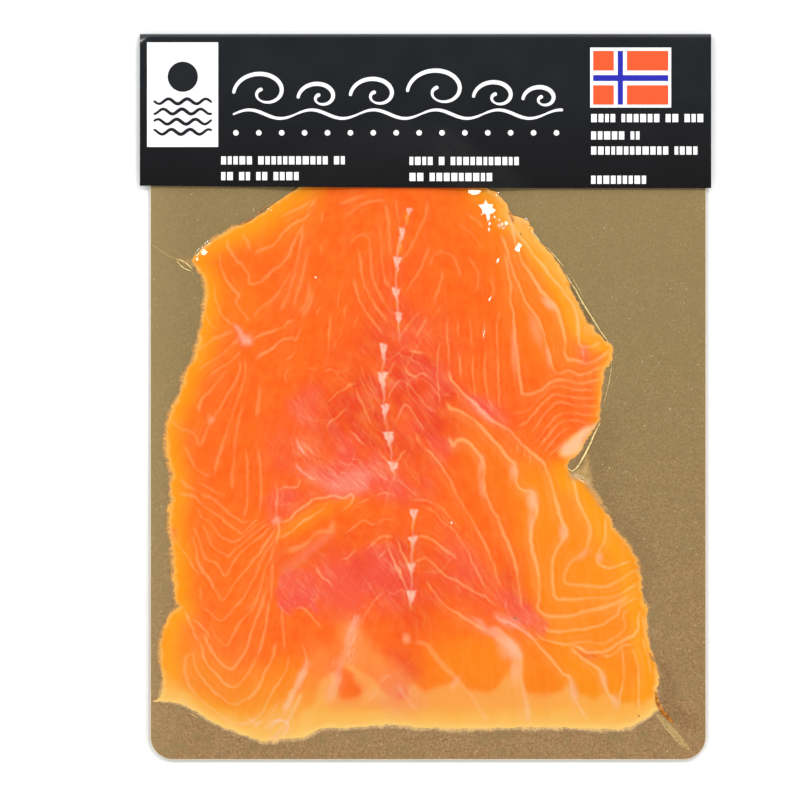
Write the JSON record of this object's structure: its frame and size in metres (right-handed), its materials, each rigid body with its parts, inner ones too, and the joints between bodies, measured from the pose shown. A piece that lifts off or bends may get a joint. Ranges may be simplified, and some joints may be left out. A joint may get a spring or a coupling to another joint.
{
  "type": "pack of smoked salmon",
  "caption": "Flat skin pack of overlapping smoked salmon slices on a stiff card under clear film, with a folded header card at the top.",
  "frame": {"origin": "middle of the pack's footprint, at the height of the surface it lies on", "axes": "+Z out of the pack's face, +Y along the pack towards its header, +X to the right as the face is read"},
  "size_m": [0.1742, 0.2222, 0.0068],
  "materials": {
    "header_board": "gloss varnished",
    "gold_board": "metallic gold laminate",
    "salmon_upper": "wet, oily, marbled",
    "salmon_middle": "wet, oily, marbled",
    "salmon_lower": "wet, oily, marbled",
    "clear_film": "clear and glossy"
  },
  "bodies": {
    "root": {"gold_card": "gold_board", "salmon_slice_upper": "salmon_upper", "salmon_slice_middle": "salmon_middle", "salmon_slice_lower": "salmon_lower", "film_skin": "clear_film", "header_card": "header_board"}
  },
  "joints": []
}
